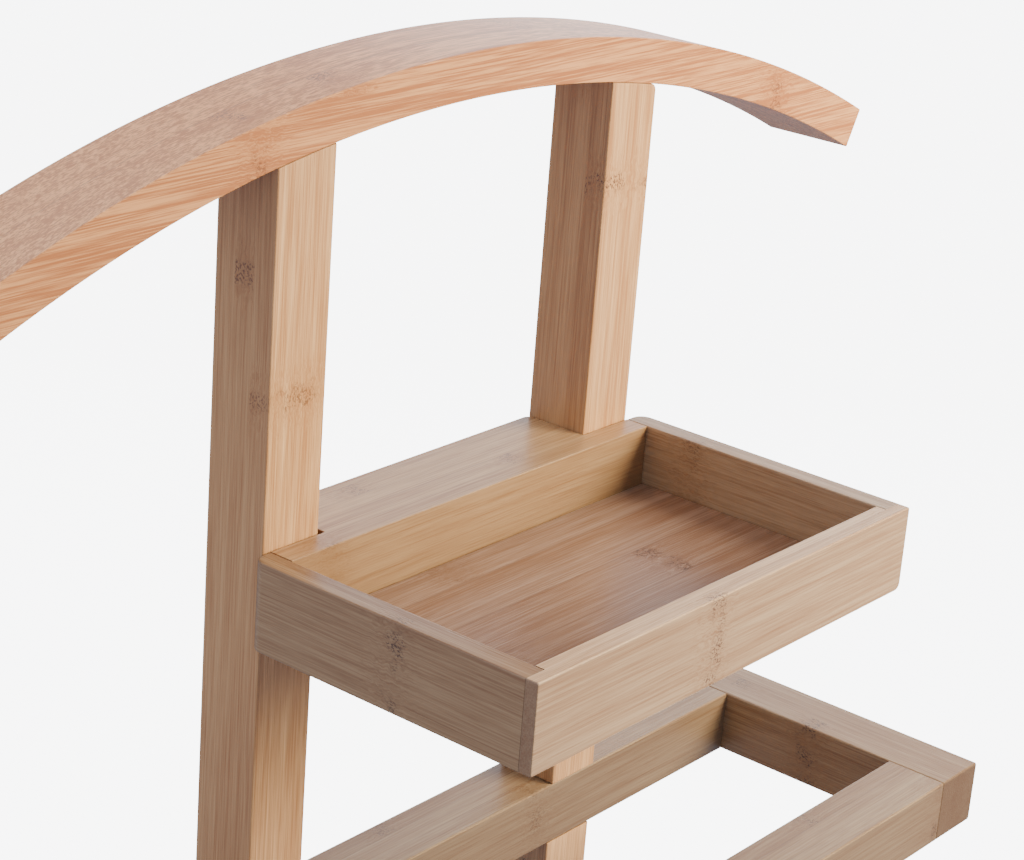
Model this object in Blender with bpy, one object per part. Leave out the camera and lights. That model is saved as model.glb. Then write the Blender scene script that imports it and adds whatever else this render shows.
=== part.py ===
"""Bamboo valet stand: hanger bow, tray, trouser frame and shoe rack on two square posts.

Metres, +Z up, the front towards -Y, the origin on the floor at the middle of the base.
"""

import math

import bmesh
import bpy

# Timber
STOCK = 0.025  # side of the square posts and bars
EDGE = 0.0015  # easing of the long edges
GAP = 0.0003  # between pieces that touch

# Overall layout
TROUSER_HEIGHT = 0.760  # floor to the top of the trouser frame
TRAY_RISE = 0.141  # trouser frame's top to the tray's rim
BOW_RISE = 0.148  # tray's rim to the top of the bow
POST_SPAN = 0.186  # over the outer sides of the two posts
REAR_OVERHANG = 0.060  # how far the base's rails run on behind the posts

# Hanger bow
BOW_LENGTH = 0.460
BOW_DEPTH = 0.036
BOW_THICKNESS = 0.0155
BOW_RADIUS = 0.526  # of its upper side
BOW_STEPS = 40
POST_TOP_STEPS = 6
POST_TOP_EASING = 0.0025

# Tray
TRAY_WIDTH = 0.200
TRAY_REACH = 0.116  # from the posts' front to the tray's front
TRAY_HEIGHT = 0.0305
TRAY_WALL = 0.0085
TRAY_REAR_CORNER = 0.005
BEAM_LEDGE = 0.010  # beam in front of the posts
BEAM_CORNER = 0.003
NOTCH_PLAY = 0.0027  # side play of the posts in the beam, all of it beside the left post
FLOOR_DROP = 0.022  # tray's rim to the floor panel's top
FLOOR_THICKNESS = 0.005
FLOOR_TONGUE = 0.0037  # of the panel, held in the walls' grooves
FLOOR_REBATE = 0.0015  # floor panel's top to its tongue's top

# Trouser frame
TROUSER_WIDTH = 0.412
TROUSER_REACH = 0.1025  # from the posts' front to the frame's front

# Base and shoe rack
BASE_WIDTH = 0.412
BASE_DEPTH = 0.320
LEG_HEIGHT = 0.055
PAD_HEIGHT = 0.003
PAD_RADIUS = 0.0095
SLAT_COUNT = 5
SLAT_WIDTH = 0.028
SLAT_THICKNESS = 0.008
SLAT_DROP = 0.003  # rail's top to the slats' top
SLAT_TENON = 0.010
SLAT_SHOULDER = 0.0015  # slat's faces to its tenon's faces

# Dowels
DOWEL_RADIUS = 0.004
DOWEL_CHAMFER = 0.0008
DOWEL_IN_SIDE = 0.015  # into a bar that it crosses
DOWEL_IN_END = 0.020  # into a bar's end
DOWEL_IN_BOW = 0.008
LEG_DOWEL_IN_RAIL = 0.011
BASE_DOWEL_HEIGHT = 0.018  # axis above the rail's underside, clear of the leg dowels

# Bolts, studs and inserts
THREAD_RADIUS = 0.004
THREAD_IN_POST = 0.032
INSERT_RADIUS = 0.006
INSERT_LENGTH = 0.020
BOLT_HEAD_RADIUS = 0.0065
BOLT_HEAD_HEIGHT = 0.008
BOLT_SOCKET_RADIUS = 0.003
BOLT_SOCKET_DEPTH = 0.004
SCREW_RADIUS = 0.002
SCREW_HEAD_RADIUS = 0.00375
SCREW_HEAD_HEIGHT = 0.003
SCREW_IN_BEAM = 0.007
SCREW_SOCKET_RADIUS = 0.0012
SCREW_SOCKET_DEPTH = 0.0015

# Facets
SIDES = 16  # of every round piece
EASE_SEGMENTS = 2
CORNER_STEPS = 4
EASED_ANGLE = 30  # degrees between faces, from where the bow's edges are eased
POST_EASED_ANGLE = 60  # the same for the posts, whose coped tops stay as drawn
SMOOTH_ANGLE = 40  # degrees, up to where a turned piece is shaded smooth
PARALLEL = 0.999  # share of an edge's length along an axis that counts as along it
NEAR = 1e-6

# Finishes: colour, roughness, metallic
PALE_BAMBOO = ((0.60, 0.42, 0.26), 0.50, 0.0)
WARM_BAMBOO = ((0.62, 0.38, 0.22), 0.48, 0.0)
FLOOR_BAMBOO = ((0.42, 0.27, 0.15), 0.52, 0.0)
DOWEL_WOOD = ((0.66, 0.50, 0.33), 0.70, 0.0)
ZINC_STEEL = ((0.62, 0.62, 0.60), 0.35, 1.0)
BRASS = ((0.72, 0.52, 0.22), 0.35, 1.0)
DARK_FELT = ((0.16, 0.12, 0.09), 0.95, 0.0)

# Places worked out from the sizes above
BASE_FRONT = -BASE_DEPTH / 2
BASE_REAR = BASE_DEPTH / 2
POST_REAR = BASE_REAR - REAR_OVERHANG
POST_FRONT = POST_REAR - STOCK
POST_X = POST_SPAN / 2 - STOCK / 2
TRAY_RIM = TROUSER_HEIGHT + TRAY_RISE
TRAY_BOTTOM = TRAY_RIM - TRAY_HEIGHT
TRAY_FRONT = POST_FRONT - TRAY_REACH
TRAY_X = NOTCH_PLAY / 2
FLOOR_TOP = TRAY_RIM - FLOOR_DROP
BOW_CENTRE = TRAY_RIM + BOW_RISE - BOW_RADIUS
TROUSER_FRONT = POST_FRONT - TROUSER_REACH
TROUSER_BOTTOM = TROUSER_HEIGHT - STOCK
LEG_BOTTOM = PAD_HEIGHT + GAP
RAIL_BOTTOM = LEG_BOTTOM + LEG_HEIGHT + GAP
RAIL_TOP = RAIL_BOTTOM + STOCK
HANDS = (("left", -1), ("right", 1))
AXES = {"X": 0, "Y": 1, "Z": 2}


def clear_scene():
    for obj in list(bpy.data.objects):
        bpy.data.objects.remove(obj, do_unlink=True)


def give_finish(obj, finish):
    colour, roughness, metallic = finish
    material = bpy.data.materials.new(obj.name + "_finish")
    material.use_nodes = True
    shader = material.node_tree.nodes["Principled BSDF"]
    shader.inputs["Base Color"].default_value = (*colour, 1.0)
    shader.inputs["Roughness"].default_value = roughness
    shader.inputs["Metallic"].default_value = metallic
    obj.data.materials.append(material)


def add_object(name, bm, place=(0, 0, 0), turn=(0, 0, 0)):
    bmesh.ops.recalc_face_normals(bm, faces=bm.faces)
    mesh = bpy.data.meshes.new(name)
    bm.to_mesh(mesh)
    bm.free()
    obj = bpy.data.objects.new(name, mesh)
    obj.location = place
    obj.rotation_euler = turn
    bpy.context.scene.collection.objects.link(obj)
    return obj


def middle_of(low, high):
    return [(a + b) / 2 for a, b in zip(low, high)]


def add_centred(name, bm, finish):
    """An object whose mesh is moved to lie about its own middle, and whose location is that middle."""
    low = [min(vert.co[i] for vert in bm.verts) for i in range(3)]
    high = [max(vert.co[i] for vert in bm.verts) for i in range(3)]
    middle = middle_of(low, high)
    bmesh.ops.translate(bm, vec=[-a for a in middle], verts=bm.verts)
    obj = add_object(name, bm, middle)
    give_finish(obj, finish)
    return obj


def box_mesh(low, high):
    """A bmesh box about its own middle."""
    bm = bmesh.new()
    size = [b - a for a, b in zip(low, high)]
    bmesh.ops.create_cube(bm, size=1.0)
    bmesh.ops.scale(bm, vec=size, verts=bm.verts)
    return bm


def ease(bm, edges, radius, segments=EASE_SEGMENTS):
    bmesh.ops.bevel(
        bm, geom=edges, offset=radius, segments=segments, profile=0.5, affect="EDGES", clamp_overlap=True
    )


def edges_along(bm, axis):
    i = AXES[axis]
    found = []
    for edge in bm.edges:
        run = edge.verts[1].co - edge.verts[0].co
        if abs(run[i]) > PARALLEL * run.length:
            found.append(edge)
    return found


def edges_at_end(bm, axis, end):
    """The edges round the box's end face at the low (-1) or high (+1) end of the axis."""
    i = AXES[axis]
    limit = max(end * vert.co[i] for vert in bm.verts)
    return [edge for edge in bm.edges if all(end * vert.co[i] > limit - NEAR for vert in edge.verts)]


def bar(name, low, high, axis, finish, round_ends=()):
    """A straight piece along the axis with its long edges eased, and its listed ends as well."""
    bm = box_mesh(low, high)
    edges = set(edges_along(bm, axis))
    for end in round_ends:
        edges.update(edges_at_end(bm, axis, end))
    ease(bm, list(edges), EDGE)
    obj = add_object(name, bm, middle_of(low, high))
    give_finish(obj, finish)
    return obj


def extruded(outline, plane, start, depth):
    """A bmesh of an outline in the XZ or XY plane, carried along the third axis from start."""
    bm = bmesh.new()
    if plane == "XZ":
        verts = [bm.verts.new((u, start, v)) for u, v in outline]
        travel = (0, depth, 0)
    else:
        verts = [bm.verts.new((u, v, start)) for u, v in outline]
        travel = (0, 0, depth)
    grown = bmesh.ops.extrude_face_region(bm, geom=[bm.faces.new(verts)])
    moved = [item for item in grown["geom"] if isinstance(item, bmesh.types.BMVert)]
    bmesh.ops.translate(bm, vec=travel, verts=moved)
    bmesh.ops.recalc_face_normals(bm, faces=bm.faces)
    return bm


def ease_sharp(bm, degrees):
    limit = math.radians(degrees)
    ease(bm, [edge for edge in bm.edges if edge.calc_face_angle(0) > limit], EDGE)


def stepped(sections, axis):
    """A bmesh through rectangles set along X or Z, each a place and its low and high corner."""
    bm = bmesh.new()
    rings = []
    for place, (u0, v0), (u1, v1) in sections:
        corners = [(u0, v0), (u1, v0), (u1, v1), (u0, v1)]
        if axis == "X":
            rings.append([bm.verts.new((place, u, v)) for u, v in corners])
        else:
            rings.append([bm.verts.new((u, v, place)) for u, v in corners])
    for first, second in zip(rings, rings[1:]):
        for i in range(4):
            j = (i + 1) % 4
            bm.faces.new((first[i], first[j], second[j], second[i]))
    bm.faces.new(rings[0])
    bm.faces.new(rings[-1])
    return bm


def turned_mesh(profile, sides=SIDES):
    """A profile of (radius, height) points turned about Z. It closes on the axis or on itself."""
    bm = bmesh.new()
    rings = []
    for radius, height in profile:
        if radius == 0:
            rings.append([bm.verts.new((0, 0, height))])
            continue
        turns = [2 * math.pi * step / sides for step in range(sides)]
        rings.append([bm.verts.new((radius * math.cos(a), radius * math.sin(a), height)) for a in turns])
    pairs = list(zip(rings, rings[1:]))
    if len(rings[0]) > 1:
        pairs.append((rings[-1], rings[0]))
    for first, second in pairs:
        for step in range(sides):
            after = (step + 1) % sides
            corners = [first[step % len(first)], first[after % len(first)]]
            corners += [second[after % len(second)], second[step % len(second)]]
            bm.faces.new(list(dict.fromkeys(corners)))
    return bm


def turn_for(axis, way):
    """The rotation that lays +Z along the axis, or against it when way is -1."""
    if axis == "X":
        return (0, way * math.pi / 2, 0)
    if axis == "Y":
        return (-way * math.pi / 2, 0, 0)
    return (0, 0, 0) if way > 0 else (math.pi, 0, 0)


def turned(name, profile, place, axis, finish, way=1):
    obj = add_object(name, turned_mesh(profile), place, turn_for(axis, way))
    give_finish(obj, finish)
    obj.data.shade_smooth()
    obj.data.set_sharp_from_angle(angle=math.radians(SMOOTH_ANGLE))
    return obj


def cut(obj, cutter):
    cutter.hide_render = True
    cutter.display_type = "WIRE"
    modifier = obj.modifiers.new(cutter.name, "BOOLEAN")
    modifier.operation = "DIFFERENCE"
    modifier.solver = "EXACT"
    modifier.object = cutter


def bore(obj, place, axis, radius, depth, way=1):
    """A round hole from place, depth long in the way given. It starts a little outside the face."""
    profile = [(0, -EDGE), (radius, -EDGE), (radius, depth), (0, depth)]
    name = f"{obj.name}_bore_{len(obj.modifiers)}"
    cut(obj, add_object(name, turned_mesh(profile), place, turn_for(axis, way)))


def box_cut(obj, low, high):
    name = f"{obj.name}_cut_{len(obj.modifiers)}"
    cut(obj, add_object(name, box_mesh(low, high), middle_of(low, high)))


def dowel(name, place, axis, before, after):
    """A chamfered dowel along the axis, its length split before and after the joint at place."""
    inner = DOWEL_RADIUS - DOWEL_CHAMFER
    profile = [
        (0, -before),
        (inner, -before),
        (DOWEL_RADIUS, DOWEL_CHAMFER - before),
        (DOWEL_RADIUS, after - DOWEL_CHAMFER),
        (inner, after),
        (0, after),
    ]
    return turned(name, profile, place, axis, DOWEL_WOOD)


def headed_screw(name, place, axis, way, radius, length, head_radius, head_height, socket, finish):
    """A screw whose head's underside is at place. Its shank runs the way given."""
    socket_radius, socket_depth = socket
    profile = [
        (0, socket_depth - head_height),
        (socket_radius, socket_depth - head_height),
        (socket_radius, -head_height),
        (head_radius, -head_height),
        (head_radius, 0),
        (radius, 0),
        (radius, length - radius / 2),
        (radius / 2, length),
        (0, length),
    ]
    return turned(name, profile, place, axis, finish, way)


def insert(name, place, way):
    """A threaded sleeve sunk in a post's end at place, along Z in the way given."""
    bore_radius = THREAD_RADIUS + GAP
    profile = [
        (bore_radius, GAP),
        (INSERT_RADIUS, GAP),
        (INSERT_RADIUS, INSERT_LENGTH),
        (bore_radius, INSERT_LENGTH),
    ]
    return turned(name, profile, place, "Z", BRASS, way)


def bore_for_insert(post, place, way):
    bore(post, place, "Z", INSERT_RADIUS + GAP, INSERT_LENGTH + GAP, way)
    bore(post, place, "Z", THREAD_RADIUS + GAP, THREAD_IN_POST + GAP, way)


def arc_point(radius, angle):
    """A point of the bow's circles, the angle measured from straight up towards +X."""
    return (radius * math.sin(angle), BOW_CENTRE + radius * math.cos(angle))


def make_bow():
    """The arch: two concentric arcs joined by radial ends, flush with the posts in front."""
    half_angle = math.asin(BOW_LENGTH / 2 / BOW_RADIUS)
    angles = [half_angle * (2 * step / BOW_STEPS - 1) for step in range(BOW_STEPS + 1)]
    outline = [arc_point(BOW_RADIUS, angle) for angle in angles]
    outline += [arc_point(BOW_RADIUS - BOW_THICKNESS, angle) for angle in reversed(angles)]
    bm = extruded(outline, "XZ", POST_FRONT, BOW_DEPTH)
    ease_sharp(bm, EASED_ANGLE)
    return add_centred("hanger_bow", bm, WARM_BAMBOO)


def underside_height(x, radius):
    return BOW_CENTRE + math.sqrt(radius**2 - x**2)


def make_upper_post(name, x):
    """A post from the trouser frame up to the bow, its top shaped to the bow's underside."""
    radius = BOW_RADIUS - BOW_THICKNESS - GAP
    across = [x + STOCK * (step / POST_TOP_STEPS - 0.5) for step in range(POST_TOP_STEPS + 1)]
    bottom = TROUSER_HEIGHT + GAP
    left, right = across[0], across[-1]
    outline = [(right, bottom), (left, bottom)]
    outline.append((left, underside_height(left, radius) - POST_TOP_EASING))
    outline.append((left + POST_TOP_EASING, underside_height(left + POST_TOP_EASING, radius)))
    inner = [u for u in across[1:-1] if left + POST_TOP_EASING < u < right - POST_TOP_EASING]
    outline += [(u, underside_height(u, radius)) for u in inner]
    outline.append((right - POST_TOP_EASING, underside_height(right - POST_TOP_EASING, radius)))
    outline.append((right, underside_height(right, radius) - POST_TOP_EASING))
    bm = extruded(outline, "XZ", POST_FRONT, STOCK)
    ease_sharp(bm, POST_EASED_ANGLE)
    return add_centred(name, bm, PALE_BAMBOO)


def join_post_to_bow(post, bow, hand, x):
    place = (x, POST_FRONT + STOCK / 2, underside_height(x, BOW_RADIUS - BOW_THICKNESS))
    bore(post, place, "Z", DOWEL_RADIUS + GAP, DOWEL_IN_END + GAP, way=-1)
    bore(bow, place, "Z", DOWEL_RADIUS + GAP, DOWEL_IN_BOW + GAP)
    dowel(f"bow_dowel_{hand}", place, "Z", DOWEL_IN_END, DOWEL_IN_BOW)


def corner_arc(centre, radius, start_turn):
    """A quarter circle of outline points, the turn counted in quarters from +X."""
    points = []
    for step in range(CORNER_STEPS + 1):
        angle = (start_turn + step / CORNER_STEPS) * math.pi / 2
        points.append((centre[0] + radius * math.cos(angle), centre[1] + radius * math.sin(angle)))
    return points


def make_tray_beam():
    """The tray's rear beam: a ledge before the posts and a tongue between them."""
    half = TRAY_WIDTH / 2 - TRAY_WALL - GAP
    front = POST_FRONT - BEAM_LEDGE
    back = POST_FRONT - GAP
    tongue_left = -POST_SPAN / 2 + STOCK + GAP + NOTCH_PLAY
    tongue_right = POST_SPAN / 2 - STOCK - GAP
    outline = [(TRAY_X - half, front), (TRAY_X + half, front), (TRAY_X + half, back), (tongue_right, back)]
    outline += corner_arc((tongue_right - BEAM_CORNER, POST_REAR - BEAM_CORNER), BEAM_CORNER, 0)
    outline += corner_arc((tongue_left + BEAM_CORNER, POST_REAR - BEAM_CORNER), BEAM_CORNER, 1)
    outline += [(tongue_left, back), (TRAY_X - half, back)]
    return add_centred("tray_rear_beam", extruded(outline, "XY", TRAY_BOTTOM, TRAY_HEIGHT), PALE_BAMBOO)


def make_tray_front():
    low = (TRAY_X - TRAY_WIDTH / 2, TRAY_FRONT, TRAY_BOTTOM)
    high = (TRAY_X + TRAY_WIDTH / 2, TRAY_FRONT + TRAY_WALL, TRAY_RIM)
    return bar("tray_front_wall", low, high, "X", PALE_BAMBOO, round_ends=(-1, 1))


def make_tray_side(hand, way):
    """A side wall from the front wall back to the posts, its rear outer corner rounded."""
    outer = TRAY_X + way * TRAY_WIDTH / 2
    inner = outer - way * TRAY_WALL
    low = (min(outer, inner), TRAY_FRONT + TRAY_WALL + GAP, TRAY_BOTTOM)
    high = (max(outer, inner), POST_FRONT - GAP, TRAY_RIM)
    bm = box_mesh(low, high)
    upright = [edge for edge in edges_along(bm, "Z") if edge in edges_at_end(bm, "Y", 1)]
    ease(bm, [edge for edge in upright if way * edge.verts[0].co.x > 0], TRAY_REAR_CORNER, CORNER_STEPS)
    ease(bm, edges_along(bm, "Y"), EDGE)
    obj = add_object(f"tray_{hand}_wall", bm, middle_of(low, high))
    give_finish(obj, PALE_BAMBOO)
    return obj


def make_tray_floor(walls):
    """The rebated floor panel, and the grooves of the walls that hold its tongues."""
    left = TRAY_X - TRAY_WIDTH / 2 + TRAY_WALL
    right = TRAY_X + TRAY_WIDTH / 2 - TRAY_WALL
    front = TRAY_FRONT + TRAY_WALL
    back = POST_FRONT - BEAM_LEDGE
    bottom = FLOOR_TOP - FLOOR_THICKNESS
    tongue_top = FLOOR_TOP - FLOOR_REBATE
    field = ((left + GAP, front + GAP), (right - GAP, back - GAP))
    whole = ((left - FLOOR_TONGUE, front - FLOOR_TONGUE), (right + FLOOR_TONGUE, back + FLOOR_TONGUE))
    sections = [(bottom, *whole), (tongue_top, *whole), (tongue_top, *field), (FLOOR_TOP, *field)]
    add_centred("tray_floor", stepped(sections, "Z"), FLOOR_BAMBOO)
    for wall in walls:
        low = (whole[0][0] - GAP, whole[0][1] - GAP, bottom - GAP)
        high = (whole[1][0] + GAP, whole[1][1] + GAP, tongue_top + GAP)
        box_cut(wall, low, high)


def screw_post_to_beam(post, beam, hand, x):
    """A screw from behind, through the post and into the tray's beam."""
    height = TRAY_RIM - TRAY_HEIGHT / 2
    rear = (x, POST_REAR, height)
    bore(post, rear, "Y", SCREW_RADIUS + GAP, STOCK + EDGE, way=-1)
    bore(post, rear, "Y", SCREW_HEAD_RADIUS + GAP, SCREW_HEAD_HEIGHT + GAP, way=-1)
    bore(beam, (x, POST_FRONT - GAP, height), "Y", SCREW_RADIUS + GAP, SCREW_IN_BEAM, way=-1)
    seat = (x, POST_REAR - SCREW_HEAD_HEIGHT, height)
    length = STOCK - SCREW_HEAD_HEIGHT + SCREW_IN_BEAM - GAP
    headed_screw(
        f"tray_screw_{hand}",
        seat,
        "Y",
        -1,
        SCREW_RADIUS,
        length,
        SCREW_HEAD_RADIUS,
        SCREW_HEAD_HEIGHT,
        (SCREW_SOCKET_RADIUS, SCREW_SOCKET_DEPTH),
        ZINC_STEEL,
    )


def join_corner(name, side_bar, cross_bar, x, way, y, z):
    """A dowel along X from the side bar's inner face at x into the cross bar's end."""
    bore(side_bar, (x, y, z), "X", DOWEL_RADIUS + GAP, DOWEL_IN_SIDE + GAP, way=way)
    bore(cross_bar, (x, y, z), "X", DOWEL_RADIUS + GAP, DOWEL_IN_END + GAP, way=-way)
    before, after = (DOWEL_IN_END, DOWEL_IN_SIDE) if way > 0 else (DOWEL_IN_SIDE, DOWEL_IN_END)
    dowel(name, (x, y, z), "X", before, after)


def make_frame(prefix, width, front, rear, bar_fronts, bottom, side_word, dowel_height):
    """Two side bars over the full depth, and cross bars between them. Returns all by name."""
    inner = width / 2 - STOCK
    top = bottom + STOCK
    pieces = {}
    for place, y in bar_fronts.items():
        low = (GAP - inner, y, bottom)
        high = (inner - GAP, y + STOCK, top)
        pieces[place] = bar(f"{prefix}_{place}_bar", low, high, "X", PALE_BAMBOO)
    for hand, way in HANDS:
        low = (min(way * inner, way * width / 2), front, bottom)
        high = (max(way * inner, way * width / 2), rear, top)
        name = f"{prefix}_{hand}_{side_word}"
        pieces[hand] = bar(name, low, high, "Y", PALE_BAMBOO, round_ends=(-1, 1))
        for place, y in bar_fronts.items():
            name = f"{prefix}_dowel_{place}_{hand}"
            middle = y + STOCK / 2
            join_corner(name, pieces[hand], pieces[place], way * inner, way, middle, bottom + dowel_height)
    return pieces


def make_lower_post(name, x):
    low = (x - STOCK / 2, POST_FRONT, RAIL_TOP + GAP)
    high = (x + STOCK / 2, POST_REAR, TROUSER_BOTTOM - GAP)
    return bar(name, low, high, "Z", PALE_BAMBOO)


def stud_posts(upper, lower, rear_bar, hand, x):
    """A stud through the trouser frame's rear bar into an insert in each post."""
    y = POST_FRONT + STOCK / 2
    bore(rear_bar, (x, y, TROUSER_BOTTOM), "Z", THREAD_RADIUS + GAP, STOCK + EDGE)
    bore_for_insert(upper, (x, y, TROUSER_HEIGHT + GAP), 1)
    bore_for_insert(lower, (x, y, TROUSER_BOTTOM - GAP), -1)
    insert(f"upper_insert_{hand}", (x, y, TROUSER_HEIGHT + GAP), 1)
    insert(f"lower_insert_{hand}", (x, y, TROUSER_BOTTOM - GAP), -1)
    start = TROUSER_BOTTOM - THREAD_IN_POST
    length = STOCK + 2 * THREAD_IN_POST
    profile = [(0, 0), (THREAD_RADIUS, 0), (THREAD_RADIUS, length), (0, length)]
    turned(f"post_stud_{hand}", profile, (x, y, start), "Z", ZINC_STEEL)


def bolt_post_to_base(post, rear_bar, hand, x):
    """A bolt from under the base's rear bar into an insert in the post's foot."""
    y = POST_FRONT + STOCK / 2
    foot = (x, y, RAIL_BOTTOM)
    bore(rear_bar, foot, "Z", THREAD_RADIUS + GAP, STOCK + EDGE)
    bore(rear_bar, foot, "Z", BOLT_HEAD_RADIUS + GAP, BOLT_HEAD_HEIGHT + GAP)
    bore_for_insert(post, (x, y, RAIL_TOP + GAP), 1)
    insert(f"foot_insert_{hand}", (x, y, RAIL_TOP + GAP), 1)
    headed_screw(
        f"base_bolt_{hand}",
        (x, y, RAIL_BOTTOM + BOLT_HEAD_HEIGHT),
        "Z",
        1,
        THREAD_RADIUS,
        STOCK - BOLT_HEAD_HEIGHT + THREAD_IN_POST,
        BOLT_HEAD_RADIUS,
        BOLT_HEAD_HEIGHT,
        (BOLT_SOCKET_RADIUS, BOLT_SOCKET_DEPTH),
        ZINC_STEEL,
    )


def make_slat(name, front, top):
    """A slat across the base with a shouldered tenon at each end. Returns a tenon's low and high corner."""
    shoulder = BASE_WIDTH / 2 - STOCK - GAP
    end = shoulder + GAP + SLAT_TENON
    whole = ((front, top - SLAT_THICKNESS), (front + SLAT_WIDTH, top))
    tenon = [[a + SLAT_SHOULDER for a in whole[0]], [a - SLAT_SHOULDER for a in whole[1]]]
    sections = [(-end, *tenon), (-shoulder, *tenon), (-shoulder, *whole)]
    sections += [(shoulder, *whole), (shoulder, *tenon), (end, *tenon)]
    bm = stepped(sections, "X")
    long_edges = [edge for edge in edges_along(bm, "X") if edge.calc_length() > shoulder]
    ease(bm, long_edges, EDGE)
    add_centred(name, bm, PALE_BAMBOO)
    return (-end, *tenon[0]), (end, *tenon[1])


def make_slats(base):
    """Evenly spaced slats between the base's cross bars, their tenons housed in the rails."""
    room = POST_FRONT - (BASE_FRONT + STOCK)
    space = (room - SLAT_COUNT * SLAT_WIDTH) / (SLAT_COUNT + 1)
    for count in range(SLAT_COUNT):
        front = BASE_FRONT + STOCK + space + count * (SLAT_WIDTH + space)
        low, high = make_slat(f"shoe_slat_{count + 1}", front, RAIL_TOP - SLAT_DROP)
        for hand, _ in HANDS:
            box_cut(base[hand], [a - GAP for a in low], [b + GAP for b in high])


def make_leg(rail, hand, way, place, y):
    """A short leg doweled under the rail, with a round pad under it."""
    x = way * (BASE_WIDTH / 2 - STOCK / 2)
    low = (x - STOCK / 2, y - STOCK / 2, LEG_BOTTOM)
    high = (x + STOCK / 2, y + STOCK / 2, LEG_BOTTOM + LEG_HEIGHT)
    leg = bar(f"leg_{place}_{hand}", low, high, "Z", PALE_BAMBOO, round_ends=(-1,))
    joint = (x, y, RAIL_BOTTOM)
    bore(leg, joint, "Z", DOWEL_RADIUS + GAP, DOWEL_IN_END + GAP, way=-1)
    bore(rail, joint, "Z", DOWEL_RADIUS + GAP, LEG_DOWEL_IN_RAIL + GAP)
    dowel(f"leg_dowel_{place}_{hand}", joint, "Z", DOWEL_IN_END, LEG_DOWEL_IN_RAIL)
    profile = [(0, 0), (PAD_RADIUS, 0), (PAD_RADIUS, PAD_HEIGHT), (0, PAD_HEIGHT)]
    turned(f"pad_{place}_{hand}", profile, (x, y, 0), "Z", DARK_FELT)


def make_tray():
    """All of the tray. Returns its rear beam."""
    beam = make_tray_beam()
    walls = [beam, make_tray_front()]
    walls += [make_tray_side(hand, way) for hand, way in HANDS]
    make_tray_floor(walls)
    return beam


def main():
    clear_scene()
    bow = make_bow()
    beam = make_tray()
    fronts = {"rear": POST_FRONT, "front": TROUSER_FRONT}
    trouser = make_frame(
        "trouser", TROUSER_WIDTH, TROUSER_FRONT, POST_REAR, fronts, TROUSER_BOTTOM, "bar", STOCK / 2
    )
    fronts = {"rear": POST_FRONT, "front": BASE_FRONT}
    base = make_frame(
        "base", BASE_WIDTH, BASE_FRONT, BASE_REAR, fronts, RAIL_BOTTOM, "rail", BASE_DOWEL_HEIGHT
    )
    make_slats(base)
    for hand, way in HANDS:
        x = way * POST_X
        upper = make_upper_post(f"upper_post_{hand}", x)
        lower = make_lower_post(f"lower_post_{hand}", x)
        join_post_to_bow(upper, bow, hand, x)
        screw_post_to_beam(upper, beam, hand, x)
        stud_posts(upper, lower, trouser["rear"], hand, x)
        bolt_post_to_base(lower, base["rear"], hand, x)
        make_leg(base[hand], hand, way, "front", BASE_FRONT + STOCK / 2)
        make_leg(base[hand], hand, way, "rear", BASE_REAR - STOCK / 2)


main()
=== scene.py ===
"""Looks of the bamboo valet stand: fine surfaces and bamboo finishes over the fixed frame."""

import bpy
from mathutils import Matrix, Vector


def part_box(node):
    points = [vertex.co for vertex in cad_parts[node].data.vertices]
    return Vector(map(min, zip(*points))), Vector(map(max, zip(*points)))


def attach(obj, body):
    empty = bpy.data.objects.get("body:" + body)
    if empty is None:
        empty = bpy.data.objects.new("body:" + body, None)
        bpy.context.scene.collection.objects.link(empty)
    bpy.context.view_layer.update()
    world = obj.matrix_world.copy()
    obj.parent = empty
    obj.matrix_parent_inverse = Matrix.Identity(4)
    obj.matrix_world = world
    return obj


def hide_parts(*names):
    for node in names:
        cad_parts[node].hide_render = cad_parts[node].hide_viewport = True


bl_info = {
    "name": "Bamboo Valet Stand",
    "version": (1, 0, 0),
    "blender": (4, 5, 0),
    "location": "View3D > Sidebar > Valet Stand",
    "description": "Builds the visible pieces, finishes and studio of a bamboo valet stand",
    "category": "Add Mesh",
}

import math

import bpy
import numpy as np
from bpy.props import FloatProperty, FloatVectorProperty, IntProperty, PointerProperty
from mathutils import Matrix, Vector
from mathutils.geometry import delaunay_2d_cdt

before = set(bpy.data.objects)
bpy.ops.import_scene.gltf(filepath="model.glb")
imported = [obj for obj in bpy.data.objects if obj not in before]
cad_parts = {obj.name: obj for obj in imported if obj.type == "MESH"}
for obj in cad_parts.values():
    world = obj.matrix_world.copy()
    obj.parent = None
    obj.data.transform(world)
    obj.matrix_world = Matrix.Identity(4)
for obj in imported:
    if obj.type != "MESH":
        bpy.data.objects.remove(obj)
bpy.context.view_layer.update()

HANDS = ("left", "right")
RIM_STEPS = 4  # facets across a rounded edge
CORNER_STEPS = 6  # facets round an outline's corner
CRISP = 0.0003  # radius of an edge that only looks sharp
GLUED = 0.00024  # how far a glued end is carried on, so that only a hair line shows
FLUSH = 0.00002  # radius of an edge that is flush with its neighbour
HAIR = 0.00005  # what stays open between two pieces that bear on each other
SHARP = 0.0010  # up to this radius a corner is mitred when its outline shrinks
TURN = 2 * math.pi
GOLDEN = 0.618
WARM = (1.0, 0.97, 0.90)
SUNNY = (1.0, 0.96, 0.80)
COOL = (0.93, 0.97, 1.05)
# painted light and shade: each piece's colour is multiplied by these to stand for the light that reaches it;
# darker for the trouser frame, the tray's beam and side walls, cooler for the tray's front wall
FRAME_PAINTED_SHADE = (0.44, 0.50, 0.60)
FRONT_PAINTED_LIGHT = (0.82, 0.94, 1.20)
BEAM_PAINTED_SHADE = (0.66, 0.69, 0.72)
SIDE_PAINTED_SHADE = {"left": (0.44, 0.47, 0.54), "right": (0.52, 0.60, 0.76)}
NODE_GAP = 0.27  # between a strip's growth nodes
NODE_HALO = 0.016  # half width of the clouding round a growth node
NODE_BAND = (0.0020, 0.0052)  # where a growth node's dots begin and stop thinning out
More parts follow.
